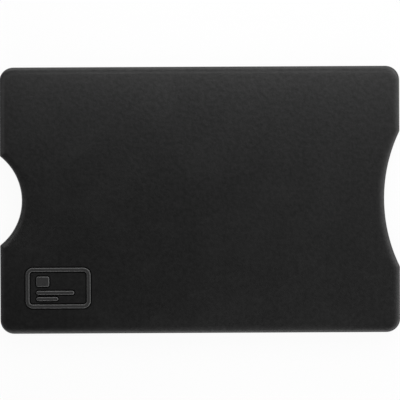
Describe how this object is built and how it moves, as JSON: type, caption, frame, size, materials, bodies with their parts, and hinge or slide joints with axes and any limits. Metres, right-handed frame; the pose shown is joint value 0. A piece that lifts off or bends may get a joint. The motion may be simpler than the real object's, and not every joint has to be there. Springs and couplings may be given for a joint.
{
  "type": "rigid shielded card holder",
  "caption": "Slim rigid plastic sleeve for a bank-size card, with a thumb notch in its closed end, a finger notch in its mouth, and metal shields inside both covers.",
  "frame": {"origin": "middle of the flat rear face, on which the sleeve lies", "axes": "+X out of the open mouth, +Y to the upper long side, +Z out of the front face"},
  "size_m": [0.09, 0.06, 0.0042],
  "materials": {
    "black_plastic": "fine matte moulding texture",
    "rail_plastic": "matte moulded edge",
    "aluminium_sheet": "rolled sheet",
    "adhesive_film": "clear amber film",
    "liner_film": "smooth satin film"
  },
  "bodies": {
    "root": {"front_cover": "black_plastic", "rear_cover": "black_plastic", "upper_side_rail": "rail_plastic", "lower_side_rail": "rail_plastic", "front_shield": "aluminium_sheet", "rear_shield": "aluminium_sheet", "front_adhesive_film": "adhesive_film", "rear_adhesive_film": "adhesive_film", "front_pocket_liner": "liner_film", "rear_pocket_liner": "liner_film"}
  },
  "joints": []
}
